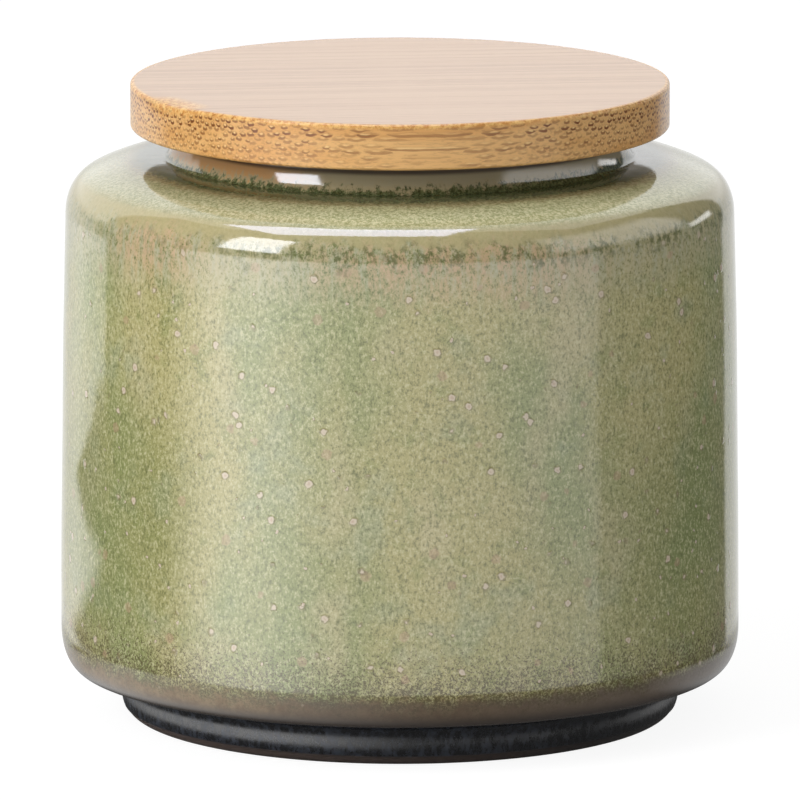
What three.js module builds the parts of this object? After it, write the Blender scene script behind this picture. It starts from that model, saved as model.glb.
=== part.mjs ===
// Ceramic tea canister: a glazed stoneware jar with a push-in bamboo lid and a silicone seal.
// Millimetres, +Z up. The origin is the centre of the foot ring's bearing plane.
import * as THREE from "three";

// Jar, outside
const jarRadius = 52.5; // widest ring, where the lower corner meets the wall
const jarHeight = 91.4; // bearing plane to rim
const wallDraft = 0.91; // radius lost from the lower corner to the upper one
const wallBulge = 0.18; // swell of the wall half way up
const lowerCornerWidth = 3.1;
const lowerCornerHeight = 6.2;
const upperCornerWidth = 4.5;
const upperCornerHeight = 6.3;
const cornerEndSlope = 0.45; // rise per millimetre inwards where the upper corner becomes the shoulder
const shoulderRise = 2.6; // from the end of the upper corner to the foot of the neck
const neckInset = 17.6; // from the widest ring in to the neck's side
const neckHeight = 4.5; // shoulder to rim
const neckFlare = 1.4; // how far the neck sweeps out from below the rim down to the shoulder
const neckSweepIn = 0.7; // pull of the sweep along the shoulder
const neckSweepDown = 0.6; // and down from the rim
const rimRound = 1;

// Foot ring
const footInset = 9.37; // from the widest ring in to the foot's side
const footHeight = 6.4;
const footRound = 2.2;
const footRingWidth = 6.5;
const footInnerRound = 1;
const footRecess = 3.5;
const recessFillet = 1.5;
const creaseFillet = 2.2;
const undersideRise = 0.9; // from the foot's crease out to the lower corner

// Jar, inside
const wallThickness = 4.5;
const floorThickness = 6.5;
const neckWall = 4.2;
const cavityLowerCorner = 8;
const cavityUpperCorner = 7;
const boreLowerRound = 1.5;

// Lid
const lidOverhang = 6.57; // lid's edge past the neck
const lidThickness = 7.04;
const lidEdgeRound = 0.5;
const lidSeatGap = 0.2;
const plugClearance = 1.9; // plug to bore, bridged by the seal's fins
const grooveInset = 2.2; // lid's underside to the groove
const grooveDepth = 1.6;
const plugLand = 0.8; // straight side below the groove
const plugChamfer = 1.2;

// Seal ring
const sealClearance = 0.2; // ring to groove, on each side
const finClearance = 0.25; // fin tips to bore
const finCount = 3;
const finRootThickness = 0.9;
const finTipThickness = 0.4;
const finGap = 0.43; // between the roots of two fins
const finLift = 0.35; // the fins lean up as the plug is pushed in

// Sizes that mating pieces share; the lid's heights count from its underside
const neckRadius = jarRadius - neckInset;
const boreRadius = neckRadius - neckWall;
const plugRadius = boreRadius - plugClearance;
const grooveFloorRadius = plugRadius - grooveDepth;
const finPitch = finRootThickness + finGap;
const sealHeight = finCount * finPitch;
const grooveTop = -grooveInset;
const grooveBottom = grooveTop - sealHeight - 2 * sealClearance;
const plugBottom = grooveBottom - plugLand - plugChamfer;

// Facets round the axis and along the curves
const turnSegments = 72;
const wallSteps = 6;
const cornerSteps = 6;
const cavityCornerSteps = 4;
const shoulderSteps = 6;
const filletSteps = 3;
const smallRoundSteps = 2;

const glaze = new THREE.MeshStandardMaterial({ color: 0xa3a076, roughness: 0.18, metalness: 0 });
const bamboo = new THREE.MeshStandardMaterial({ color: 0xd9ab6c, roughness: 0.5, metalness: 0 });
const silicone = new THREE.MeshStandardMaterial({ color: 0xe6e4dc, roughness: 0.45, metalness: 0 });

const point = (r, z) => new THREE.Vector2(r, z);
const radians = THREE.MathUtils.degToRad;

// Points of an elliptical arc about (r, z); angles in degrees, from the outward direction up
function ellipseArc(r, z, halfWidth, halfHeight, from, to, steps) {
  const clockwise = to < from;
  const curve = new THREE.EllipseCurve(r, z, halfWidth, halfHeight, radians(from), radians(to), clockwise);
  return curve.getPoints(steps);
}

function roundArc(r, z, radius, from, to, steps) {
  return ellipseArc(r, z, radius, radius, from, to, steps);
}

// A solid turned about Z from its half section, drawn anticlockwise
function turned(name, section, material) {
  const sameSpot = 1e-6;
  const outline = section.filter((p, i) => i === 0 || p.distanceTo(section[i - 1]) > sameSpot);
  const geometry = new THREE.LatheGeometry(outline, turnSegments);
  geometry.rotateX(Math.PI / 2);
  const mesh = new THREE.Mesh(geometry, material);
  mesh.name = name;
  return mesh;
}

// Foot ring: recess, inner edge, bearing land, rounded outer edge and the crease under the body
function footSection() {
  const outer = jarRadius - footInset;
  const inner = outer - footRingWidth;
  const fillet = Math.min(recessFillet, footRecess - footInnerRound);
  const creaseEnd = 100; // the fillet stops short of level, where the underside starts to rise
  return [
    point(0, footRecess),
    ...roundArc(inner - fillet, footRecess - fillet, fillet, 90, 0, smallRoundSteps),
    ...roundArc(inner + footInnerRound, footInnerRound, footInnerRound, 180, 270, smallRoundSteps),
    ...roundArc(outer - footRound, footRound, footRound, -90, 0, filletSteps),
    ...roundArc(outer + creaseFillet, footHeight - creaseFillet, creaseFillet,
      180, creaseEnd, filletSteps),
  ];
}

// Lower corner, drafted wall, upper corner, domed shoulder and the neck's sweep up to the rim
function bodySection() {
  const lowerCentreR = jarRadius - lowerCornerWidth;
  const lowerCentreZ = footHeight + undersideRise + lowerCornerHeight;
  const undersideAngle = -80; // where the underside runs into the corner

  const topRadius = jarRadius - wallDraft;
  const shoulderZ = jarHeight - neckHeight;
  const endAngle = Math.atan(upperCornerHeight / upperCornerWidth / cornerEndSlope);
  const upperCentreR = topRadius - upperCornerWidth;
  const upperCentreZ = shoulderZ - shoulderRise - upperCornerHeight * Math.sin(endAngle);

  const wall = new THREE.QuadraticBezierCurve(
    point(jarRadius, lowerCentreZ),
    point((jarRadius + topRadius) / 2 + 2 * wallBulge, (lowerCentreZ + upperCentreZ) / 2),
    point(topRadius, upperCentreZ),
  );
  const upperCorner = ellipseArc(upperCentreR, upperCentreZ, upperCornerWidth, upperCornerHeight,
    0, THREE.MathUtils.radToDeg(endAngle), cornerSteps);

  const start = upperCorner[upperCorner.length - 1];
  const end = point(neckRadius + neckFlare, shoulderZ);
  const handle = (start.x - end.x) / 3;
  const shoulder = new THREE.CubicBezierCurve(
    start,
    point(start.x - handle, start.y + handle * cornerEndSlope),
    point(end.x + handle, end.y),
    end,
  );
  const sweepTop = jarHeight - rimRound;
  const sweep = new THREE.CubicBezierCurve(
    end,
    point(end.x - neckSweepIn, shoulderZ),
    point(neckRadius, sweepTop - neckSweepDown),
    point(neckRadius, sweepTop),
  );
  return [
    ...ellipseArc(lowerCentreR, lowerCentreZ, lowerCornerWidth, lowerCornerHeight,
      undersideAngle, 0, cornerSteps),
    ...wall.getPoints(wallSteps),
    ...upperCorner,
    ...shoulder.getPoints(shoulderSteps),
    ...sweep.getPoints(cornerSteps),
  ];
}

// Rim, bore and the tea cavity, from the top down to the floor
function cavitySection() {
  const ceiling = jarHeight - neckHeight - wallThickness;
  const upperRadius = jarRadius - wallDraft - wallThickness;
  const lowerRadius = jarRadius - wallThickness;
  const floor = footRecess + floorThickness;
  return [
    ...roundArc(neckRadius - rimRound, jarHeight - rimRound, rimRound, 0, 90, smallRoundSteps),
    ...roundArc(boreRadius + rimRound, jarHeight - rimRound, rimRound, 90, 180, smallRoundSteps),
    ...roundArc(boreRadius + boreLowerRound, ceiling + boreLowerRound, boreLowerRound,
      180, 270, smallRoundSteps),
    ...roundArc(upperRadius - cavityUpperCorner, ceiling - cavityUpperCorner, cavityUpperCorner,
      90, 0, cavityCornerSteps),
    ...roundArc(lowerRadius - cavityLowerCorner, floor + cavityLowerCorner, cavityLowerCorner,
      0, -90, cavityCornerSteps),
    point(0, floor),
  ];
}

function makeJar() {
  return turned("jar", [...footSection(), ...bodySection(), ...cavitySection()], glaze);
}

// Round slab with eased edges; its underside is the lid's zero height
function makeLidDisc() {
  const edge = neckRadius + lidOverhang;
  const easedR = edge - lidEdgeRound;
  return turned("lid_disc", [
    point(0, 0),
    ...roundArc(easedR, lidEdgeRound, lidEdgeRound, -90, 0, smallRoundSteps),
    ...roundArc(easedR, lidThickness - lidEdgeRound, lidEdgeRound, 0, 90, smallRoundSteps),
    point(0, lidThickness),
  ], bamboo);
}

// Plug glued under the slab, with a groove for the seal and a lead-in chamfer
function makeLidPlug() {
  return turned("lid_plug", [
    point(0, plugBottom),
    point(plugRadius - plugChamfer, plugBottom),
    point(plugRadius, plugBottom + plugChamfer),
    point(plugRadius, grooveBottom),
    point(grooveFloorRadius, grooveBottom),
    point(grooveFloorRadius, grooveTop),
    point(plugRadius, grooveTop),
    point(plugRadius, 0),
    point(0, 0),
  ], bamboo);
}

// Ring in the groove, with thin fins that wipe the bore
function makeSealRing() {
  const inside = grooveFloorRadius + sealClearance;
  const tip = boreRadius - finClearance;
  const bottom = grooveBottom + sealClearance;
  const top = bottom + sealHeight;
  const section = [point(inside, bottom), point(plugRadius, bottom)];
  for (let i = 0; i < finCount; i += 1) {
    const middle = bottom + (i + 0.5) * finPitch;
    section.push(
      point(plugRadius, middle - finRootThickness / 2),
      point(tip, middle + finLift - finTipThickness / 2),
      point(tip, middle + finLift + finTipThickness / 2),
      point(plugRadius, middle + finRootThickness / 2),
    );
  }
  section.push(point(plugRadius, top), point(inside, top), point(inside, bottom));
  return turned("seal_ring", section, silicone);
}

const lid = new THREE.Group();
lid.add(makeLidDisc(), makeLidPlug(), makeSealRing());
lid.position.z = jarHeight + lidSeatGap;

const canister = new THREE.Group();
canister.add(makeJar(), lid);

export default canister;
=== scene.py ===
"""Ceramic tea canister: a glazed stoneware jar with a bamboo lid, its plug and its silicone seal.

Metres in the scene, +Z up, -Y towards the camera. Sections and textures are worked out in millimetres.
"""
import math

import bpy
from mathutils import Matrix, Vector, noise


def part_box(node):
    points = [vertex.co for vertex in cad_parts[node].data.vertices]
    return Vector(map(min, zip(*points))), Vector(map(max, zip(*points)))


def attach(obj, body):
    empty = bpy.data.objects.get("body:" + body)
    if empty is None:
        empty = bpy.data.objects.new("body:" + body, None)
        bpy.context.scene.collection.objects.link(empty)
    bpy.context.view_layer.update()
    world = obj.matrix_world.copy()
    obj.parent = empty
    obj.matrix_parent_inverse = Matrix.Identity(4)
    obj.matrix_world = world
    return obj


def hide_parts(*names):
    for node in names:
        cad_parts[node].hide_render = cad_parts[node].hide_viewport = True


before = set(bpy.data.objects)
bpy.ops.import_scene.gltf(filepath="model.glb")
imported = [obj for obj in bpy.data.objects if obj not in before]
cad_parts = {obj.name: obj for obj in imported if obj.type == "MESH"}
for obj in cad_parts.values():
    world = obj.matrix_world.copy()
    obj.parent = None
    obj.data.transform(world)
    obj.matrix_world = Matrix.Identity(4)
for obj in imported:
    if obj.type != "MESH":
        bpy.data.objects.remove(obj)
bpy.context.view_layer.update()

MM = 0.001

# Camera, fitted to the outline of the jar and lid
sight_height = 50.0 * MM  # point of the axis that the elevation and distance are measured from
aim_height = 48.58 * MM
view_elevation = math.radians(10.724)
view_distance = 2107.8 * MM
lens_mm = 614.4

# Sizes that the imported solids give, in millimetres
_, jar_high = (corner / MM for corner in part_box("jar"))
disc_low, disc_high = (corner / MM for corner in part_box("lid_disc"))
plug_low, plug_high = (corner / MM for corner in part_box("lid_plug"))
seal_low, seal_high = (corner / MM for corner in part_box("seal_ring"))

jar_radius = jar_high.x
rim_height = jar_high.z
disc_radius = disc_high.x
disc_bottom = disc_low.z
disc_top = disc_high.z
plug_radius = plug_high.x
plug_bottom = plug_low.z
seal_radius = seal_high.x
seal_bottom = seal_low.z
seal_top = seal_high.z

# Jar, outside
wall_draft = 0.91
wall_bulge = 0.18
lower_corner = (3.1, 6.2)  # width and height of the elliptical corner
upper_corner = (4.5, 6.3)
corner_end_slope = 0.45
shoulder_rise = 2.6
neck_inset = 17.6
neck_height = 4.5
neck_flare = 1.4
neck_sweep_in = 0.7
neck_sweep_down = 0.6
rim_round = 1.0
neck_radius = jar_radius - neck_inset
shoulder_height = rim_height - neck_height

# Foot ring
foot_inset = 9.37
foot_radius = jar_radius - foot_inset
foot_height = 6.4
foot_round = (2.2, 3.2)  # width and height of the glaze's roll over the lower edge
foot_ring_width = 6.5
foot_inner_round = 1.0
foot_recess = 3.5
recess_fillet = 1.5
crease_fillet = 2.2
underside_rise = 0.9
lower_corner_height = foot_height + underside_rise + lower_corner[1]
glaze_end = -35.0  # degrees down the roll, where the glaze stops and leaves bare clay
glaze_line = foot_round[1] * (1 + math.sin(math.radians(glaze_end)))
glaze_step = 0.15
glaze_lip = 3.0  # degrees of the roll that the step takes up

# Jar, inside
wall_thickness = 4.5
floor_thickness = 6.5
neck_wall = 4.2
cavity_lower_corner = 8.0
cavity_upper_corner = 7.0
bore_lower_round = 1.5
floor_height = foot_recess + floor_thickness
ceiling_height = shoulder_height - wall_thickness
bore_radius = neck_radius - neck_wall
mid_wall = jar_radius - 0.6 * wall_thickness  # radius that lies inside the wall all the way up

# Slow unevenness of the jar's outside
wall_waves = ((0.07, 17.0), (0.012, 6.0))  # depth and length of a long and a short wave
wave_start = 0.5  # above the glaze line
wave_foot_fade = 3.0
wave_neck_gap = 4.0
wave_neck_fade = 5.0

# Lid and seal
lid_edge_round = 0.5
groove_inset = 2.2
groove_top = disc_bottom - groove_inset
groove_depth = 1.6
seal_clearance = 0.2
groove_bottom = seal_bottom - seal_clearance
plug_chamfer = 1.2
plug_edge_round = 0.15
fin_count = 3
fin_root = 0.9
fin_tip = 0.4
fin_lift = 0.35

# Bamboo
grain_turn = math.radians(6.0)  # the grain runs nearly left to right
worn_turn = -58.0  # degrees from the front, where the lid's top edge is worn
worn_width = 9.0  # degrees
worn_reach = 4.5
worn_depth = 0.5
chip_depth = 0.1  # unevenness of the cut fibres along the top edge
chip_reach = 1.2
chip_waves = (0.25, 2.2)  # per millimetre, along and across the grain
bundle_pitch = 0.95  # between the fibre bundles of a row
bundle_row = 0.84  # between rows

# Fineness of the meshes
turn_segments = 288
slab_segments = 900  # enough for the cut fibres
sharp_angle = math.radians(40)
same_spot = 1e-6

white = (1.0, 1.0, 1.0)


def srgb(red, green, blue):
    """Linear colour with alpha from 8-bit sRGB values."""
    def linear(value):
        share = value / 255
        return share / 12.92 if share <= 0.04045 else ((share + 0.055) / 1.055) ** 2.4
    return (linear(red), linear(green), linear(blue), 1.0)


def grey(level, tint=white):
    """Light of one level, with alpha."""
    return (*(level * share for share in tint), 1.0)


def on_ring(radius, turn, height):
    """Point at an azimuth in degrees, counted from the front to the right."""
    side = math.radians(turn)
    return (radius * math.sin(side), -radius * math.cos(side), height)


def edge(level, lost, full):
    """Where a zone is lost and where it is full, both counted from a level."""
    return (level + lost, level + full)


# Sections: lists of (radius, height) points

def arc(centre, size, start, end, steps):
    """Points of an elliptical arc of a half width and height; degrees count from outwards up."""
    points = []
    for i in range(steps + 1):
        angle = math.radians(start + (end - start) * i / steps)
        points.append((centre[0] + size[0] * math.cos(angle), centre[1] + size[1] * math.sin(angle)))
    return points


def round_arc(centre, radius, start, end, steps):
    return arc(centre, (radius, radius), start, end, steps)


def bezier(controls, steps):
    """Points of a Bezier curve of any degree."""
    degree = len(controls) - 1
    points = []
    for i in range(steps + 1):
        t = i / steps
        weights = [math.comb(degree, k) * t ** k * (1 - t) ** (degree - k) for k in range(degree + 1)]
        points.append(tuple(sum(w * c[axis] for w, c in zip(weights, controls)) for axis in (0, 1)))
    return points


def resample(points, spacing):
    """The same line with points about one spacing apart; its corners are kept."""
    dense = [points[0]]
    for start, end in zip(points, points[1:]):
        length = math.dist(start, end)
        pieces = max(1, math.ceil(length / spacing))
        for i in range(1, pieces + 1):
            share = i / pieces
            dense.append((start[0] + (end[0] - start[0]) * share, start[1] + (end[1] - start[1]) * share))
    return [p for i, p in enumerate(dense) if i == 0 or math.dist(p, dense[i - 1]) > same_spot]


def soften(points, passes):
    """Eases the kinks of a line, as melted glaze does; its ends stay."""
    for _ in range(passes):
        points = [
            p if i in (0, len(points) - 1) else tuple(
                (points[i - 1][axis] + 2 * p[axis] + points[i + 1][axis]) / 4 for axis in (0, 1))
            for i, p in enumerate(points)
        ]
    return points


def foot_section():
    """Recess, inner edge and bearing land of bare clay, up to the glaze line."""
    inner = foot_radius - foot_ring_width
    clay = foot_radius - glaze_step
    return [
        (0.0, foot_recess),
        *round_arc((inner - recess_fillet, foot_recess - recess_fillet), recess_fillet, 90, 0, steps=6),
        *round_arc((inner + foot_inner_round, foot_inner_round), foot_inner_round, 180, 270, steps=6),
        *arc((clay - foot_round[0], foot_round[1]), foot_round, -90, glaze_end - glaze_lip, steps=10),
    ]


def outer_section():
    """Glazed outside: foot, crease, lower corner, wall, upper corner, shoulder and the neck's sweep."""
    crease = (foot_radius + crease_fillet, foot_height - crease_fillet)
    crease_end = 100  # the fillet stops short of level, where the underside starts to rise
    underside_angle = -80  # where the underside runs into the corner
    lower_centre = (jar_radius - lower_corner[0], lower_corner_height)
    top_radius = jar_radius - wall_draft
    end_angle = math.atan(upper_corner[1] / upper_corner[0] / corner_end_slope)
    upper_centre = (top_radius - upper_corner[0],
                    shoulder_height - shoulder_rise - upper_corner[1] * math.sin(end_angle))
    corner = arc(upper_centre, upper_corner, 0, math.degrees(end_angle), steps=30)
    start = corner[-1]
    sweep_top = rim_height - rim_round
    end = (neck_radius + neck_flare, shoulder_height)
    handle = (start[0] - end[0]) / 3
    middle = ((jar_radius + top_radius) / 2 + 2 * wall_bulge, (lower_corner_height + upper_centre[1]) / 2)
    points = [
        *arc((foot_radius - foot_round[0], foot_round[1]), foot_round, glaze_end, 0, steps=8),
        *round_arc(crease, crease_fillet, 180, crease_end, steps=8),
        *arc(lower_centre, lower_corner, underside_angle, 0, steps=30),
        *bezier([(jar_radius, lower_corner_height), middle, (top_radius, upper_centre[1])], steps=40),
        *corner,
        *bezier([start, (start[0] - handle, start[1] + handle * corner_end_slope),
                 (end[0] + handle, end[1]), end], steps=30),
        *bezier([end, (end[0] - neck_sweep_in, shoulder_height),
                 (neck_radius, sweep_top - neck_sweep_down), (neck_radius, sweep_top)], steps=16),
    ]
    return soften(resample(points, spacing=0.3), passes=4)


def inner_section():
    """Rim, bore, cavity and floor."""
    upper = jar_radius - wall_draft - wall_thickness
    lower = jar_radius - wall_thickness
    return resample([
        *round_arc((neck_radius - rim_round, rim_height - rim_round), rim_round, 0, 90, steps=8),
        *round_arc((bore_radius + rim_round, rim_height - rim_round), rim_round, 90, 180, steps=8),
        *round_arc((bore_radius + bore_lower_round, ceiling_height + bore_lower_round),
                   bore_lower_round, 180, 270, steps=6),
        *round_arc((upper - cavity_upper_corner, ceiling_height - cavity_upper_corner),
                   cavity_upper_corner, 90, 0, steps=12),
        *round_arc((lower - cavity_lower_corner, floor_height + cavity_lower_corner),
                   cavity_lower_corner, 0, -90, steps=12),
        (0.0, floor_height),
    ], spacing=2.0)


def disc_section():
    """Slab with eased edges, with rings close enough together to carry worn edges."""
    eased = disc_radius - lid_edge_round
    return resample([
        (0.0, disc_bottom),
        *round_arc((eased, disc_bottom + lid_edge_round), lid_edge_round, -90, 0, steps=6),
        *round_arc((eased, disc_top - lid_edge_round), lid_edge_round, 0, 90, steps=6),
        (0.0, disc_top),
    ], spacing=0.7)


def plug_section():
    """Plug with its seal groove and lead-in chamfer."""
    groove_floor = plug_radius - groove_depth
    ease = plug_edge_round
    return resample([
        (0.0, plug_bottom),
        (plug_radius - plug_chamfer - ease, plug_bottom),
        (plug_radius - plug_chamfer + ease, plug_bottom + ease),
        (plug_radius - ease, plug_bottom + plug_chamfer - ease),
        (plug_radius, plug_bottom + plug_chamfer + ease),
        *round_arc((plug_radius - ease, groove_bottom - ease), ease, 0, 90, steps=3),
        (groove_floor, groove_bottom),
        (groove_floor, groove_top),
        *round_arc((plug_radius - ease, groove_top + ease), ease, -90, 0, steps=3),
        (plug_radius, disc_bottom),
        (0.0, disc_bottom),
    ], spacing=1.2)


def seal_section():
    """Flat ring with fins that lean up and have round tips."""
    inside = plug_radius - groove_depth + seal_clearance
    pitch = (seal_top - seal_bottom) / fin_count
    tip_angle = 80  # degrees of the tip's round, above and below
    points = [(inside, seal_bottom), (plug_radius, seal_bottom)]
    for i in range(fin_count):
        middle = seal_bottom + (i + 0.5) * pitch
        tip = (seal_radius - fin_tip / 2, middle + fin_lift)
        points.append((plug_radius, middle - fin_root / 2))
        points.extend(round_arc(tip, fin_tip / 2, -tip_angle, tip_angle, steps=8))
        points.append((plug_radius, middle + fin_root / 2))
    points += [(plug_radius, seal_top), (inside, seal_top), (inside, seal_bottom)]
    return resample(points, spacing=0.6)


# Meshes

def section_normals(section):
    """Outward direction at each point of a section drawn anticlockwise."""
    normals = []
    for i in range(len(section)):
        before = section[max(i - 1, 0)]
        after = section[min(i + 1, len(section) - 1)]
        length = math.dist(before, after) or 1.0
        normals.append(((after[1] - before[1]) / length, (before[0] - after[0]) / length))
    return normals


def turned(name, section, segments=turn_segments, sink=None):
    """Object turned about Z; sink(position) gives how far a point lies below the true surface."""
    closed = math.dist(section[0], section[-1]) < same_spot
    rings = section[:-1] if closed else section
    normals = section_normals(section)
    vertices = []
    rows = []
    for (radius, height), (out, up) in zip(rings, normals):
        if radius < same_spot:
            rows.append([len(vertices)] * segments)
            vertices.append((0.0, 0.0, height * MM))
            continue
        rows.append(list(range(len(vertices), len(vertices) + segments)))
        for k in range(segments):
            turn = 2 * math.pi * k / segments
            side = (math.sin(turn), -math.cos(turn))
            depth = sink(Vector((radius * side[0], radius * side[1], height))) if sink else 0.0
            r = radius - out * depth
            vertices.append((r * side[0] * MM, r * side[1] * MM, (height - up * depth) * MM))
    if closed:
        rows.append(rows[0])
    faces = []
    for lower, upper in zip(rows, rows[1:]):
        for k in range(segments):
            n = (k + 1) % segments
            corners = [lower[k], lower[n], upper[n], upper[k]]
            faces.append([c for i, c in enumerate(corners) if c not in corners[:i]])
    mesh = bpy.data.meshes.new(name)
    mesh.from_pydata(vertices, [], faces)
    mesh.shade_smooth()
    mesh.set_sharp_from_angle(angle=sharp_angle)
    obj = bpy.data.objects.new(name, mesh)
    bpy.context.scene.collection.objects.link(obj)
    return obj


def jar_sink(p):
    """Slow unevenness of a thrown and glazed wall, fading out towards the foot's land and the neck."""
    margin = 0.5
    inset = jar_radius - math.hypot(p.x, p.y)
    in_cavity = inset > wall_thickness - margin and floor_height - margin < p.z < ceiling_height + margin
    up_foot = (p.z - glaze_line - wave_start) / wave_foot_fade
    off_neck = (neck_inset - wave_neck_gap - inset) / wave_neck_fade
    ramp = min(1.0, up_foot, off_neck)
    if ramp <= 0.0 or in_cavity:
        return 0.0
    return ramp * sum(depth * (1 + noise.noise(p / length)) for depth, length in wall_waves)


def disc_sink(p):
    """Cut fibres make the top edge uneven, and it is worn round at one spot on the left."""
    depth = disc_top - p.z
    inset = disc_radius - math.hypot(p.x, p.y)
    from_edge = max(2 * depth, inset)
    if from_edge > worn_reach:
        return 0.0
    across = p.y * math.cos(grain_turn) - p.x * math.sin(grain_turn)
    ragged = 0.5 + 0.5 * noise.noise(Vector((p.x * chip_waves[0], across * chip_waves[1], 0.0)))
    turn = math.degrees(math.atan2(p.x, -p.y))
    worn = math.exp(-((turn - worn_turn) / worn_width) ** 2)
    chipped = chip_depth * ragged * max(0.0, 1 - from_edge / chip_reach)
    return chipped + worn * worn_depth * (1 - from_edge / worn_reach) ** 2


# Node trees

class Graph:
    """Adds nodes to one tree; its short calls return the new node's output socket."""

    def __init__(self, tree):
        self.tree = tree
        tree.nodes.clear()

    def feed(self, socket, value):
        if isinstance(value, bpy.types.NodeSocket):
            self.tree.links.new(value, socket)
        else:
            socket.default_value = value

    def node(self, kind, inputs=None, **settings):
        made = self.tree.nodes.new("ShaderNode" + kind)
        for name, value in settings.items():
            setattr(made, name, value)
        for key, value in (inputs or {}).items():
            self.feed(made.inputs[key], value)
        return made

    def math(self, operation, *values):
        return self.node("Math", dict(enumerate(values)), operation=operation).outputs[0]

    def vector(self, operation, *values):
        return self.node("VectorMath", dict(enumerate(values)), operation=operation).outputs[0]

    def scaled(self, vector, factors):
        return self.vector("MULTIPLY", vector, factors)

    def moved(self, vector, shift):
        return self.vector("ADD", vector, shift)

    def distance(self, place, middle):
        made = self.node("VectorMath", {0: place, 1: middle}, operation="DISTANCE")
        return made.outputs["Value"]

    def axes(self, vector):
        made = self.node("SeparateXYZ", {"Vector": vector})
        return [made.outputs[axis] for axis in "XYZ"]

    def times(self, *values):
        product = values[0]
        for value in values[1:]:
            product = self.math("MULTIPLY", product, value)
        return product

    def length(self, a, b):
        return self.math("SQRT", self.math("ADD", self.times(a, a), self.times(b, b)))

    def noise(self, vector, scale, detail=2.0, roughness=0.5):
        made = self.node("TexNoise", {"Vector": vector, "Scale": scale, "Detail": detail,
                                      "Roughness": roughness})
        return made.outputs[0]

    def noise_vector(self, vector, scale):
        return self.node("TexNoise", {"Vector": vector, "Scale": scale, "Detail": 1.0}).outputs["Color"]

    def swayed(self, value, field, span):
        """A value moved up and down by a noise field about one half, over a span at most."""
        return self.math("ADD", value, self.math("MULTIPLY", self.math("SUBTRACT", field, 0.5), span))

    def ramp(self, value, start, end, first, second):
        """Even change from the first value at start to the second at end."""
        made = self.node("MapRange", {"Value": value, "From Min": start, "From Max": end,
                                      "To Min": first, "To Max": second})
        return made.outputs[0]

    def step(self, value, start, end):
        """0 at start, 1 at end, smooth between; start may lie above end."""
        made = self.node("MapRange", {"Value": value, "From Min": start, "From Max": end},
                         interpolation_type="SMOOTHSTEP")
        return made.outputs[0]

    def band(self, value, lower, upper):
        """1 between two edges; each edge is where the band is lost and where it is full."""
        return self.times(self.step(value, *lower), self.step(value, *upper))

    def mix(self, share, first, second, blend="MIX"):
        made = self.node("Mix", {0: share, 6: first, 7: second}, data_type="RGBA", blend_type=blend)
        return made.outputs[2]

    def paint(self, colour, tone, *shares):
        """A tone laid over a colour, as far as the product of the shares goes."""
        return self.mix(self.times(*shares), colour, tone)

    def blend_value(self, share, first, second):
        return self.node("Mix", {0: share, 2: first, 3: second}, data_type="FLOAT").outputs[0]

    def blend_shader(self, share, first, second):
        return self.node("MixShader", {0: share, 1: first, 2: second}).outputs[0]


def new_material(name):
    """Material with an empty tree, its graph, and the surface position in millimetres."""
    material = bpy.data.materials.new(name)
    material.use_nodes = True
    g = Graph(material.node_tree)
    place = g.node("TexCoord").outputs["Object"]
    return material, g, g.scaled(place, (1 / MM, 1 / MM, 1 / MM))


def finish_material(g, colour, roughness, height, relief, **constants):
    """Principled surface; relief is the height map's range in millimetres."""
    shader = g.node("BsdfPrincipled", {"Base Color": colour, "Roughness": roughness, **constants})
    bump = g.node("Bump", {"Height": height, "Distance": relief * MM, "Strength": 1.0})
    g.feed(shader.inputs["Normal"], bump.outputs[0])
    output = g.node("OutputMaterial")
    g.feed(output.inputs["Surface"], shader.outputs[0])


# Glaze

# Bands by height, from below the shoulder up to the rim
run_band = (edge(shoulder_height, -16.9, -7.9), edge(shoulder_height, -2.4, -5.9))
fleck_band = (edge(shoulder_height, -9.9, -6.9), edge(shoulder_height, -2.9, -5.4))
corner_line = (edge(shoulder_height, -6.3, -4.5), edge(shoulder_height, -2.1, -3.5))
shoulder_edge = edge(shoulder_height, -3.5, -1.9)
neck_gloss = edge(shoulder_height, -0.1, 0.5)
lower_neck = edge(shoulder_height, 0.3, 1.2)
upper_neck = edge(shoulder_height, 0.8, 1.9)
rim_shade_edge = edge(rim_height, -1.9, -1.2)

# Bands by height, from the wall down to the foot
crater_band = (edge(foot_height, 3.6, 7.6), edge(shoulder_height, -5.9, -9.9))
speck_fade = edge(foot_height, 4.1, 20.6)
bare_edge = edge(foot_height, 6.6, 2.9)
shade_edge = edge(foot_height, 6.4, 4.8)
crease_shade_edge = edge(foot_height, 4.0, 1.4)
foot_edge = edge(foot_height, 1.6, 0.2)
shaded_foot_edge = edge(foot_height, 0.8, 0.0)
clay_edge = edge(glaze_line, 0.3, -0.05)

# Bands by radius on the shoulder: the glaze pool and the painted shade under the lid's overhang
paler_edge = edge(neck_radius, 5.1, 12.6)
pool_shade_fringe = edge(neck_radius, 8.1, 6.6)
pool_shade_edge = edge(neck_radius, 7.1, 4.6)

# The inside, which has plain glaze
cavity_side = edge(mid_wall, 0.1, -0.2)
cavity_band = (edge(floor_height, -0.7, -0.3), edge(ceiling_height, 0.6, 0.4))
bore_side = edge(bore_radius, 0.8, 0.4)
bore_start = edge(ceiling_height, -2.0, -1.0)

# Zones of the wall as azimuth from the front in degrees, height and reach: pinker runs, and thicker green
pink_zones = ((10.0, 77.0, 30.0), (-47.0, 80.5, 14.0))
green_zones = ((-60.0, 37.0, 25.0), (63.0, 32.0, 27.0))
zone_raggedness = 6.0
zone_core = 0.35  # share of the reach that is full

# Craters: spacing and size
blots = (6.5, 1.0)
craters = ((4.6, 0.62), (3.3, 0.3))


def near(g, p, zone, uneven=0.5):
    """1 in the middle of a zone of the wall, fading out unevenly at its reach."""
    turn, height, reach = zone
    away = g.swayed(g.distance(p, on_ring(jar_radius, turn, height)), uneven, zone_raggedness)
    return g.step(away, reach, zone_core * reach)


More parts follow.
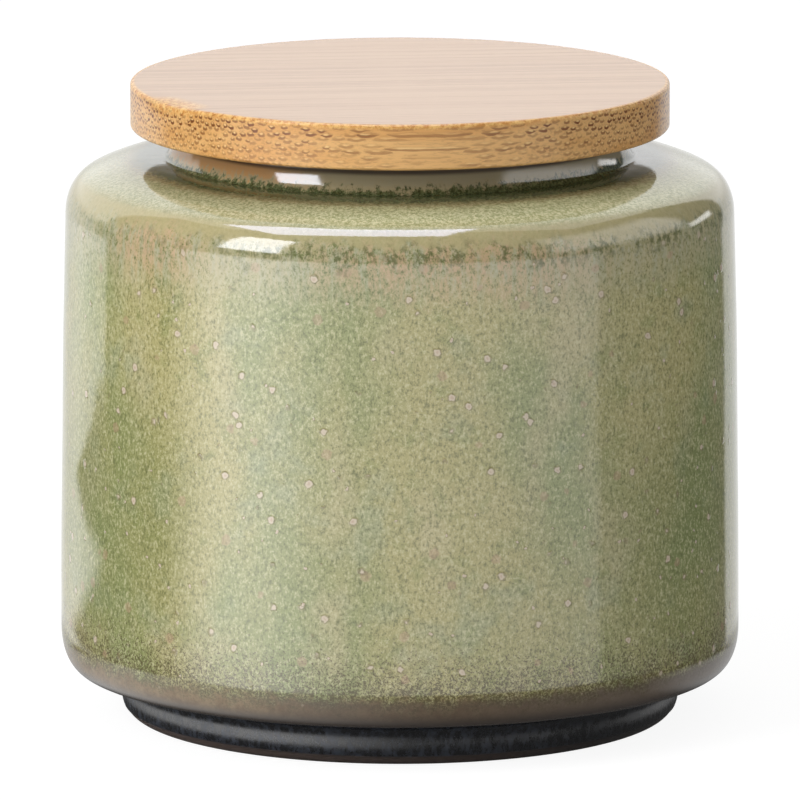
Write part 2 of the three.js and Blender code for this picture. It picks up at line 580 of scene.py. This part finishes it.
def spots(g, p, spacing, radius):
    """Scattered craters: shares of the pale rim, of its pink middle and of the dark ring about it."""
    cells = g.node("TexVoronoi", {"Vector": p, "Scale": 1 / spacing, "Randomness": 1.0})
    distance = g.math("MULTIPLY", cells.outputs["Distance"], spacing)
    rim = g.step(distance, radius * 0.95, radius * 0.7)
    middle = g.step(distance, radius * 0.55, radius * 0.25)
    ring = g.step(distance, radius * 1.35, radius * 0.95)
    return rim, middle, ring


class GlazeField:
    """Places and noises that the layers of the glaze share."""

    def __init__(self, g, p):
        self.p = p
        self.x, y, self.z = g.axes(p)
        self.radius = g.length(self.x, y)
        fine = g.scaled(p, (1.0, 1.0, 0.7))  # crystals a little taller than wide
        self.grain = g.noise(fine, 1.9, 2.0, 0.9)
        self.fleck = g.noise(g.moved(fine, (0.0, 0.0, 40.0)), 0.9, 3.0, 0.75)
        self.speck = g.noise(g.moved(p, (0.0, 0.0, -60.0)), 2.7, 3.0, 0.85)
        self.streak = g.noise(g.scaled(p, (1.0, 1.0, 0.5)), 0.8, 5.0, 0.8)
        self.ragged = g.swayed(self.z, g.noise(p, 0.4, 4.0, 0.7), 8.0)
        self.bare = g.step(g.swayed(self.ragged, self.speck, 9.0), *bare_edge)
        self.on_foot = g.step(self.z, *foot_edge)
        self.clay = g.step(self.z, *clay_edge)


def mottled_green(g, field):
    """Broad zones of tone under fine crystals and dark flecks."""
    p = field.p
    tall = g.scaled(p, (1.0, 1.0, 0.55))
    broad = g.step(g.noise(tall, 1 / 22, 3.0), 0.38, 0.62)
    colour = g.mix(broad, srgb(152, 160, 108), srgb(182, 174, 120))
    straw = g.step(g.noise(g.moved(tall, (70.0, 0.0, 0.0)), 1 / 13, 3.0), 0.5, 0.72)
    colour = g.paint(colour, srgb(194, 184, 142), straw, 0.8)
    slate = g.step(g.noise(g.moved(p, (0.0, 90.0, 0.0)), 1 / 9, 4.0, 0.6), 0.52, 0.7)
    colour = g.paint(colour, srgb(160, 170, 142), slate, 0.42)
    moss = g.step(g.noise(g.moved(p, (40.0, 0.0, 25.0)), 1 / 4, 3.0, 0.6), 0.5, 0.72)
    colour = g.paint(colour, srgb(138, 147, 86), moss, 0.5)
    for zone in green_zones:
        colour = g.paint(colour, srgb(124, 136, 80), near(g, p, zone, moss), 0.5)
    colour = g.paint(colour, srgb(216, 211, 170), g.step(field.grain, 0.5, 0.68), 0.62)
    colour = g.paint(colour, srgb(106, 110, 70), g.step(field.grain, 0.5, 0.32), 0.68)
    return g.paint(colour, srgb(98, 104, 64), g.step(field.fleck, 0.59, 0.7), 0.5)


def thin_runs(g, field, colour):
    """Pinkish and bluish runs below the upper corner, dark flecks along their top, and a pale line."""
    runs = g.noise(g.scaled(field.p, (1.0, 1.0, 0.22)), 0.75, 3.0, 0.65)
    pink = srgb(188, 178, 143)
    for zone in pink_zones:
        pink = g.paint(pink, srgb(202, 170, 138), near(g, field.p, zone))
    run_tone = g.mix(g.step(runs, 0.42, 0.64), pink, srgb(180, 177, 150))
    thin = g.band(field.ragged, *run_band)
    colour = g.paint(colour, run_tone, thin, g.step(field.grain, 0.32, 0.56), 0.8)
    clusters = g.step(g.noise(field.p, 0.2, 3.0, 0.6), 0.34, 0.54)
    fewer_left = g.blend_value(g.step(field.x, -38.0, -15.0), 0.4, 1.0)
    flecks = g.times(g.band(field.ragged, *fleck_band), clusters, fewer_left)
    colour = g.paint(colour, srgb(98, 103, 62), flecks, g.step(field.fleck, 0.44, 0.6), 0.8)
    line_start, line_end = corner_line
    line = g.times(g.step(field.ragged, *line_start), g.step(field.z, *line_end))
    return g.paint(colour, srgb(186, 174, 130), line, 0.75)


def shoulder_and_neck(g, field, colour):
    """Green shoulder, paler outwards, a dark glaze pool and a grey-brown neck, with painted light and shade:
    the shoulder darker inwards under the lid and on the left and lighter on the front and right, the pool
    darker under the lid, the neck orange-brown on the left where the key light and the lid's reflection
    fall, and a dark line under the lid.
    """
    shoulder = g.step(field.z, *shoulder_edge)
    # Painted shade: the shoulder darker inwards under the lid's overhang, paler outwards
    outwards = g.step(field.radius, *paler_edge)
    darker = g.mix(outwards, srgb(132, 130, 88), srgb(164, 168, 122))
    lighter = g.mix(outwards, srgb(186, 181, 136), srgb(224, 222, 184))
    green = g.mix(g.step(field.grain, 0.34, 0.66), darker, lighter)
    # Painted shade on the shoulder's left and painted light on its front and right
    painted_lightness = g.blend_value(g.step(field.x, -38.0, 0.0), 0.84, 1.09)
    colour = g.paint(colour, g.mix(1.0, green, painted_lightness, "MULTIPLY"), shoulder, 0.95)

    # Glaze pooling by the neck, darkened as painted shade under the lid, with a brown fringe at that shade's
    # edge
    inwards = g.swayed(field.radius, field.fleck, 4.0)
    colour = g.paint(colour, srgb(132, 108, 72), g.step(inwards, *pool_shade_fringe), shoulder, 0.5)
    pool_shade_tone = g.mix(g.step(field.grain, 0.36, 0.7), srgb(55, 64, 37), srgb(110, 120, 82))
    colour = g.paint(colour, pool_shade_tone, g.step(inwards, *pool_shade_edge), shoulder)

    tilt = g.math("MULTIPLY", g.math("MAXIMUM", field.x, 0.0), 0.02)
    up_neck = g.math("SUBTRACT", g.swayed(field.z, field.fleck, 4.5), tilt)
    colour = g.paint(colour, srgb(172, 160, 124), g.step(up_neck, *lower_neck))
    # Painted light: the neck orange-brown on the left, where the key light and the bamboo lid's reflection
    # fall
    key_lit_neck = g.step(field.x, -10.0, -22.0)
    neck_tone = g.mix(key_lit_neck, srgb(172, 162, 130), srgb(192, 148, 96))
    colour = g.paint(colour, neck_tone, g.step(up_neck, *upper_neck))
    # Painted shade: a dark line at the top of the neck, under the lid
    return g.paint(colour, srgb(58, 40, 26), g.step(field.z, *rim_shade_edge), 0.85)


def specks_and_foot(g, field, colour):
    """Dark specks thickening into taupe, greyer on the right as a painted reflection of the table; painted
    shade darkening the underside towards the crease and the foot towards the right; the near black foot, and
    bare clay under it.
    """
    needed = g.ramp(field.ragged, *speck_fade, 0.43, 0.72)
    specked = g.step(g.math("SUBTRACT", field.speck, needed), -0.03, 0.05)
    colour = g.paint(colour, srgb(88, 77, 52), specked, 0.85)
    patchy = g.step(g.noise(field.p, 0.5, 4.0, 0.7), 0.35, 0.65)
    bare_tone_and_sheen = g.mix(patchy, srgb(124, 101, 74), srgb(148, 126, 96))
    # Painted reflection of the pale table: the bare band greyer on the right
    bare_tone_and_sheen = g.paint(bare_tone_and_sheen, srgb(150, 140, 128), g.step(field.x, 5.0, 35.0), 0.5)
    colour = g.paint(colour, bare_tone_and_sheen, field.bare, 0.95)
    # Painted shade towards the crease, on the front and right, away from the key light
    shaded_side = g.step(field.x, -30.0, -8.0)
    colour = g.paint(colour, srgb(96, 84, 76), g.step(field.z, *shade_edge), shaded_side, 0.6)
    # Painted shade: darker still on the underside towards the crease
    colour = g.paint(colour, srgb(78, 70, 64), g.step(field.z, *crease_shade_edge))

    black = g.mix(g.step(field.streak, 0.42, 0.7), srgb(22, 22, 25), srgb(58, 65, 78))
    colour = g.paint(colour, black, field.on_foot)
    clay_tone = g.mix(g.noise(field.p, 1.2, 4.0, 0.7), srgb(50, 39, 32), srgb(88, 68, 56))
    colour = g.paint(colour, clay_tone, field.clay)
    # Painted shade on the foot and its clay towards the right, away from the key light
    shaded_foot = g.times(g.step(field.z, *shaded_foot_edge), g.step(field.x, 8.0, 38.0))
    return g.paint(colour, srgb(10, 10, 12), shaded_foot, 0.8)


def outside_share(g, field):
    """0 in the cavity and the bore, 1 elsewhere."""
    in_cavity = g.times(g.step(field.radius, *cavity_side), g.band(field.z, *cavity_band))
    in_bore = g.times(g.step(field.radius, *bore_side), g.step(field.z, *bore_start))
    return g.math("SUBTRACT", 1.0, g.math("MAXIMUM", in_cavity, in_bore))


def cratered(g, field, colour, outside):
    """Pinkish blots and pale craters on the wall, none quite round; also gives where the craters rise."""
    on_wall = g.times(g.band(field.z, *crater_band), outside)
    wobbled = g.moved(field.p, g.scaled(g.noise_vector(field.p, 1.3), (0.7, 0.7, 0.7)))
    blot = spots(g, g.moved(wobbled, (0.0, 0.0, 33.0)), *blots)[0]
    colour = g.paint(colour, srgb(190, 150, 128), blot, on_wall, 0.35)
    raised = 0.0
    for spacing, size in craters:
        rim, middle, ring = spots(g, wobbled, spacing, size)
        raised = g.math("ADD", g.times(ring, on_wall), raised)
        colour = g.paint(colour, srgb(140, 124, 94), ring, on_wall, 0.5)
        colour = g.paint(colour, srgb(222, 206, 184), rim, on_wall, 0.85)
        colour = g.paint(colour, srgb(198, 172, 148), middle, on_wall, 0.7)
    return colour, raised


def glaze_material():
    """Reactive glaze: mottled green, brown where thin, dark where it pools, near black on the foot; with
    painted shade under the lid, towards the crease and on the foot's right, painted light on the shoulder
    and neck, and a painted reflection on the bare band.
    """
    material, g, p = new_material("reactive_glaze")
    field = GlazeField(g, p)
    liner = mottled_green(g, field)
    colour = thin_runs(g, field, liner)
    colour = shoulder_and_neck(g, field, colour)
    colour = specks_and_foot(g, field, colour)
    outside = outside_share(g, field)
    colour = g.mix(outside, liner, colour)
    colour, raised = cratered(g, field, colour, outside)

    roughness = g.blend_value(field.bare, 0.07, 0.22)
    foot_roughness = g.blend_value(g.step(field.streak, 0.35, 0.7), 0.2, 0.42)
    roughness = g.blend_value(field.on_foot, roughness, foot_roughness)
    roughness = g.blend_value(field.clay, roughness, 0.85)
    specular = g.blend_value(g.step(field.z, *neck_gloss), 0.5, 0.6)
    specular = g.blend_value(field.on_foot, specular, 1.0)
    skin = g.math("ADD", g.noise(p, 0.32, 2.0), g.math("MULTIPLY", field.grain, 0.2))
    skin = g.math("ADD", skin, g.math("MULTIPLY", raised, 1.5))
    finish_material(g, colour, roughness, skin, relief=0.02,
                    **{"IOR": 1.65, "Specular IOR Level": specular})
    return material


# Bamboo

class BambooField:
    """Places along and across the grain that the layers of the bamboo share."""

    def __init__(self, g, p):
        self.p = p
        self.turned = g.node("VectorRotate", {"Vector": p, "Angle": -grain_turn},
                             rotation_type="Z_AXIS").outputs[0]
        self.x, y, self.z = g.axes(self.turned)
        slow = g.scaled(self.turned, (0.03, 0.08, 0.08))
        self.across = g.swayed(y, g.noise(slow, 1.0, 2.0), 1.6)
        self.depth = g.math("SUBTRACT", disc_top, self.z)
        self.radius = g.length(self.x, y)
        self.on_top = g.step(self.depth, 0.25, 0.05)
        self.calm = g.blend_value(self.on_top, 1.0, 0.2)


def fibre_bands(g, field, tone, light, shade):
    """Fine fibres and broad bands of tone along the grain, calmer on top and paler there as painted sheen;
    gives the fibres too.
    """
    along = g.node("CombineXYZ", {"X": g.math("MULTIPLY", field.x, 0.02),
                                  "Y": field.across, "Z": field.z}).outputs[0]
    fibre = g.noise(along, 2.4, 4.0, 0.7)
    broad = g.noise(g.scaled(along, (0.8, 0.11, 0.3)), 1.0, 3.0)
    pith = g.noise(g.scaled(field.turned, (0.15, 1.0, 1.0)), 2.6, 3.0, 0.7)
    colour = g.paint(tone, light, g.step(broad, 0.35, 0.65), field.calm)
    # Painted sheen: the top paler and pinker
    colour = g.paint(colour, srgb(199, 177, 161), field.on_top, 0.5)
    colour = g.paint(colour, shade, g.step(fibre, 0.52, 0.3), field.calm, 0.2)
    colour = g.paint(colour, shade, g.step(pith, 0.5, 0.3), field.calm, 0.3)
    return colour, fibre


def bundle_places(g, field):
    """Staggered rows of bundles: how far a point is beside and below its own, and three chances each."""
    jitter = g.noise_vector(g.scaled(field.turned, (0.15, 1.0, 1.0)), 2.2)
    centred = g.vector("SUBTRACT", jitter, (0.5, 0.5, 0.5))
    shift_x, shift_y, _ = g.axes(g.scaled(centred, (0.3, 0.3, 0.3)))
    in_row = g.math("DIVIDE", g.math("ADD", field.across, shift_x), bundle_pitch)
    down = g.math("DIVIDE", g.math("ADD", field.depth, shift_y), 2 * bundle_row)
    lattice = g.node("CombineXYZ", {"X": g.math("ADD", in_row, down),
                                    "Y": g.math("SUBTRACT", in_row, down)}).outputs[0]
    cells = g.node("TexVoronoi", {"Vector": lattice, "Scale": 1.0, "Randomness": 0.6},
                   voronoi_dimensions="2D")
    off_x, off_y, _ = g.axes(g.vector("SUBTRACT", lattice, cells.outputs["Position"]))
    beside = g.math("MULTIPLY", g.math("ADD", off_x, off_y), bundle_pitch / 2)
    below = g.math("MULTIPLY", g.math("SUBTRACT", off_x, off_y), bundle_row)
    chances = g.node("SeparateColor", {"Color": cells.outputs["Color"]}).outputs
    return beside, below, chances


def fibre_bundles(g, field):
    """Shares of each bundle's dark crescent and of the bright spot over it, strongest near the top: dark
    fibre sheaths with painted shade under them, and painted highlights and glints over them.
    """
    beside, below, chances = bundle_places(g, field)
    spot_rise = 0.12
    spot = g.length(beside, g.math("ADD", below, spot_rise))
    size = g.math("ADD", g.math("MULTIPLY", chances[1], 0.45), 0.75)
    reach = g.math("DIVIDE", g.length(beside, below), size)
    fading = g.ramp(field.depth, 0.5, 6.5, 1.0, 0.4)
    end_grain = g.math("DIVIDE", g.math("ABSOLUTE", field.x), field.radius)
    strength = g.times(g.math("ADD", g.math("MULTIPLY", chances[0], 0.7), 0.5),
                       g.blend_value(end_grain, 0.55, 1.1), field.calm)
    # Painted shade: each bundle's dark crescent is strongest beneath it
    beneath = g.blend_value(g.step(below, -0.25, 0.1), 0.3, 1.2)
    dark = g.times(g.step(reach, 0.46, 0.3), g.step(spot, 0.07, 0.22), beneath, fading, strength)
    # Painted highlights: a bright spot over each bundle, some as glints
    glint = g.blend_value(g.step(chances[2], 0.3, 0.8), 0.35, 1.0)
    bright = g.times(g.step(spot, 0.21, 0.06), strength, glint)
    return dark, bright


def golden_edge(g, field, colour):
    """Golden fibre ends along the slab's top edge, reaching further in where it is worn."""
    away = g.distance(field.p, on_ring(disc_radius, worn_turn, disc_top))
    ends = g.noise(field.p, 1.3, 3.0, 0.75)
    golden = g.mix(g.step(ends, 0.4, 0.6), srgb(206, 138, 62), srgb(246, 200, 124))
    ragged_depth = g.math("SUBTRACT", field.depth, g.math("MULTIPLY", ends, 1.3))
    at_edge = g.times(g.step(field.radius, *edge(disc_radius, -0.9, -0.4)), g.step(ragged_depth, 0.2, -0.4))
    worn = g.times(g.step(away, 8.0, 4.0), g.step(field.radius, *edge(disc_radius, -5.0, -2.0)),
                   g.step(field.depth, 2.0, 0.6))
    return g.paint(colour, golden, g.math("MAXIMUM", at_edge, worn), 0.85)


def bamboo_material(name, tone, light, shade, roughness, lacquer):
    """Bamboo: fibre bundles run along the grain, as dots where it is cut across and streaks where along."""
    material, g, p = new_material(name)
    field = BambooField(g, p)
    colour, fibre = fibre_bands(g, field, tone, light, shade)
    dark, bright = fibre_bundles(g, field)
    # Dark sheaths with painted shade below, and painted highlights over them
    colour = g.paint(colour, shade, g.math("MINIMUM", dark, 1.0))
    colour = g.paint(colour, srgb(252, 218, 154), bright, 0.6)
    colour = golden_edge(g, field, colour)
    height = g.math("SUBTRACT", g.times(fibre, field.calm, 0.4), dark)
    height = g.math("ADD", height, g.times(bright, 0.5))
    finish_material(g, colour, roughness, height, relief=0.05,
                    **{"Specular IOR Level": 0.2, "Coat Weight": lacquer, "Coat Roughness": 0.2})
    return material


# Silicone

def silicone_material():
    """Milky silicone with faint cloudiness."""
    material, g, p = new_material("milky_silicone")
    cloud = g.noise(p, 0.3, 3.0)
    colour = g.mix(cloud, srgb(222, 220, 212), srgb(238, 236, 229))
    roughness = g.blend_value(g.noise(p, 2.0, 2.0), 0.38, 0.5)
    finish_material(g, colour, roughness, g.noise(p, 3.0, 2.0), relief=0.01,
                    **{"Subsurface Weight": 0.25, "Subsurface Scale": 2.0 * MM})
    return material


# Light

cool = (0.72, 0.745, 1.0)
pale = (0.88, 0.91, 1.0)

# Panels that the glaze mirrors, in degrees; azimuth counts from the camera's side to the right
# left, right, their two softnesses, low, high, their softness, radiance and tint
mirror_panels = (
    (-75.0, 72.0, 14.0, 3.0, -90.0, 0.0, 3.0, 1.25, white),  # table in front
    (72.0, 98.0, 3.0, 24.0, -90.0, 0.0, 3.0, 0.42, white),  # shaded table on the right
    (-73.0, -33.0, 17.0, 18.0, -90.0, 0.0, 3.0, 3.4, white),  # where the key light falls on it
    (-66.0, -42.0, 1.0, 1.0, 13.0, 42.0, 1.2, 9.9, pale),  # key light
    (146.5, 231.0, 2.0, 1.5, -40.0, 51.0, 2.0, 0.93, white),  # white backdrop
    (146.5, 239.0, 2.0, 1.5, 5.0, 51.0, 4.0, 1.35, white),  # its brighter upper part
    (210.0, 239.0, 10.0, 1.5, -40.0, -8.0, 1.2, 1.4, white),  # and brighter left end
    (54.5, 117.0, 4.0, 4.0, 9.0, 38.0, 6.0, 1.7, white),  # card on the right
    (119.0, 137.0, 1.5, 1.5, 4.0, 9.0, 1.5, 3.0, white),  # gap beside it
)
# Panels overhead, on a plane one unit up: left, right, front and back edges, softness, radiance and tint
ceiling_panels = (
    (-0.8, 0.78, -0.05, 0.95, 0.04, 1.2, white),  # white tent
    (-0.62, 0.2, -0.34, 0.24, 0.015, 8.6, cool),  # softbox
)
least_rise = 0.05  # lower directions meet the plane overhead as if they rose so much
dark_room = 0.12
fill = 0.55

# Floor, in millimetres; each edge is where a zone is lost and where it is full
floor_half = 6000.0
floor_drop = 0.02
floor_grey = 0.55  # as the jar is lit by it
shadow_grey = 0.2  # as the camera sees shadow on it
floor_glow = 0.9
mirrored_reach = (100.0, 88.0)  # the glaze mirrors the painted floor up to here, and the panels beyond
lit_x = (14.0, -44.0)  # where the key light falls
lit_y = (30.0, -25.0)
lit_reach = (48.0, 54.0)
lit_level = 1.3
unlit_level = 0.07
strip_x = (46.0, 56.0)  # pale strips on both sides of the jar
strip_start = (-42.0, -12.0)
strip_reach = (88.0, 76.0)
strip_behind = (24.0, 40.0)
strip_left = (20.0, -20.0)
strip_levels = (0.6, 0.7)  # right and left
# Dark patches on the left of the painted floor, the nearer one painted shadow: right, left, back and front
# edges
dark_floor_patches = (
    ((-160.0, -184.0), (-330.0, -290.0), (167.0, 151.0), (20.0, 40.0)),
    ((-85.0, -100.0), (-190.0, -170.0), (68.0, 44.0), (-60.0, -30.0)),
)


def floor_reflection(g):
    """What the glaze mirrors: lit on the key light's side, dark on the other, pale strips, and dark patches,
    the nearer one painted shadow.
    """
    def zone(value, edges):
        return g.step(value, *(place * MM for place in edges))

    x, y, _ = g.axes(g.node("NewGeometry").outputs["Position"])
    reach = g.length(x, y)
    lit = g.times(zone(x, lit_x), zone(y, lit_y), zone(reach, lit_reach))
    strip_end = g.math("MAXIMUM", zone(reach, strip_reach), zone(y, strip_behind))
    strips = g.times(zone(g.math("ABSOLUTE", x), strip_x), zone(y, strip_start), strip_end)
    strip_level = g.blend_value(zone(x, strip_left), *strip_levels)
    level = g.math("MAXIMUM", g.blend_value(lit, unlit_level, lit_level), g.times(strips, strip_level))
    beside_jar = g.node("Emission", {"Strength": level}).outputs[0]
    beyond = g.node("BsdfTransparent").outputs[0]
    mirrored = g.blend_shader(zone(reach, mirrored_reach), beyond, beside_jar)
    patches = [
        g.times(zone(x, right), zone(x, left), zone(y, back), zone(y, front))
        for right, left, back, front in dark_floor_patches
    ]
    dark = g.node("Emission", {"Strength": dark_room}).outputs[0]
    return g.blend_shader(g.math("MAXIMUM", *patches), mirrored, dark)


def floor_material():
    """Pale floor: white to the camera with a soft shadow, and painted for the reflections."""
    material = bpy.data.materials.new("pale_floor")
    material.use_nodes = True
    g = Graph(material.node_tree)
    path = g.node("LightPath")
    plain = g.node("BsdfDiffuse", {"Color": grey(floor_grey)}).outputs[0]
    shadowed = g.node("BsdfDiffuse", {"Color": grey(shadow_grey)}).outputs[0]
    glow = g.node("Emission", {"Color": grey(1.0), "Strength": floor_glow}).outputs[0]
    seen = g.node("AddShader", {0: shadowed, 1: glow}).outputs[0]
    surface = g.blend_shader(path.outputs["Is Glossy Ray"], plain, floor_reflection(g))
    surface = g.blend_shader(path.outputs["Is Camera Ray"], surface, seen)
    output = g.node("OutputMaterial")
    g.feed(output.inputs["Surface"], surface)
    return material


def soft_span(g, value, low, high, soft_low, soft_high):
    """1 from low to high, with a soft end on either side."""
    return g.band(value, (low - soft_low, low + soft_low), (high + soft_high, high - soft_high))


def build_world():
    """White to the camera, an even fill for diffuse light, and a studio of panels for reflections."""
    world = bpy.data.worlds.new("studio")
    bpy.context.scene.world = world
    world.use_nodes = True
    g = Graph(world.node_tree)
    x, y, z = g.axes(g.node("TexCoord").outputs["Generated"])
    azimuth = g.math("DEGREES", g.math("ARCTAN2", x, g.math("MULTIPLY", y, -1.0)))
    elevation = g.math("DEGREES", g.math("ARCSINE", z))
    radiance = grey(dark_room)
    for left, right, soft_left, soft_right, low, high, soft, level, tint in mirror_panels:
        middle = (left + right) / 2
        half = (right - left) / 2
        off = g.math("WRAP", g.math("SUBTRACT", azimuth, middle), 180.0, -180.0)
        mask = g.times(soft_span(g, off, -half, half, soft_left, soft_right),
                       soft_span(g, elevation, low, high, soft, soft))
        radiance = g.mix(mask, radiance, grey(level, tint), "LIGHTEN")
    up = g.math("MAXIMUM", z, least_rise)
    over_x = g.math("DIVIDE", x, up)
    over_y = g.math("DIVIDE", y, up)
    for left, right, front, back, soft, level, tint in ceiling_panels:
        mask = g.times(soft_span(g, over_x, left, right, soft, soft),
                       soft_span(g, over_y, front, back, soft, soft))
        radiance = g.mix(mask, radiance, grey(level, tint), "LIGHTEN")

    path = g.node("LightPath")
    seen = g.mix(path.outputs["Is Glossy Ray"], grey(fill), radiance)
    seen = g.mix(path.outputs["Is Camera Ray"], seen, grey(1.0))
    background = g.node("Background", {"Color": seen, "Strength": 1.0})
    output = g.node("OutputWorld")
    g.feed(output.inputs["Surface"], background.outputs[0])


def add_lamp(name, azimuth, elevation, distance, size, power):
    """Square softbox aimed at the jar; the glaze mirrors the painted panels instead."""
    lamp = bpy.data.lights.new(name, "AREA")
    lamp.size = size
    lamp.energy = power
    obj = bpy.data.objects.new(name, lamp)
    bpy.context.scene.collection.objects.link(obj)
    a, e = math.radians(azimuth), math.radians(elevation)
    aim = Vector((0.0, 0.0, sight_height))
    towards = Vector((math.sin(a) * math.cos(e), -math.cos(a) * math.cos(e), math.sin(e)))
    obj.location = aim + towards * distance
    obj.rotation_euler = towards.to_track_quat("Z", "Y").to_euler()
    obj.visible_camera = False
    obj.visible_glossy = False


def add_camera():
    camera = bpy.data.cameras.new("camera")
    camera.lens = lens_mm
    obj = bpy.data.objects.new("camera", camera)
    bpy.context.scene.collection.objects.link(obj)
    back = Vector((0.0, -math.cos(view_elevation), math.sin(view_elevation)))
    obj.location = Vector((0.0, 0.0, sight_height)) + back * view_distance
    sight = Vector((0.0, 0.0, aim_height)) - obj.location
    obj.rotation_euler = sight.to_track_quat("-Z", "Y").to_euler()
    bpy.context.scene.camera = obj


def add_floor():
    """Plane a hair below the foot's land, so that the two faces don't coincide."""
    half = floor_half * MM
    level = -floor_drop * MM
    corners = [(-half, -half, level), (half, -half, level), (half, half, level), (-half, half, level)]
    mesh = bpy.data.meshes.new("floor")
    mesh.from_pydata(corners, [], [(0, 1, 2, 3)])
    obj = bpy.data.objects.new("floor", mesh)
    bpy.context.scene.collection.objects.link(obj)
    mesh.materials.append(floor_material())


def place(piece, material, body, node, slot):
    piece.data.materials.append(material)
    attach(piece, body)
    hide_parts(node)


add_camera()
add_floor()
build_world()
add_lamp("key_softbox", azimuth=-54.0, elevation=28.0, distance=1.2, size=0.7, power=8.8)

lid_bamboo = bamboo_material("lid_bamboo", tone=srgb(220, 163, 94), light=srgb(232, 182, 116),
                             shade=srgb(122, 68, 22), roughness=0.5, lacquer=0.65)
plug_bamboo = bamboo_material("turned_bamboo", tone=srgb(206, 158, 102), light=srgb(222, 178, 122),
                              shade=srgb(150, 102, 58), roughness=0.6, lacquer=0.0)

jar_section = foot_section() + outer_section() + inner_section()
place(turned("glazed_jar", jar_section, sink=jar_sink), glaze_material(), "jar", "jar", "glaze")
place(turned("lid_slab", disc_section(), slab_segments, disc_sink), lid_bamboo, "lid", "lid_disc", "bamboo")
place(turned("lid_plug_turned", plug_section()), plug_bamboo, "lid", "lid_plug", "plug_bamboo")
place(turned("finned_seal", seal_section()), silicone_material(), "seal", "seal_ring", "silicone")

view_settings = bpy.context.scene.view_settings
view_settings.view_transform = "Standard"
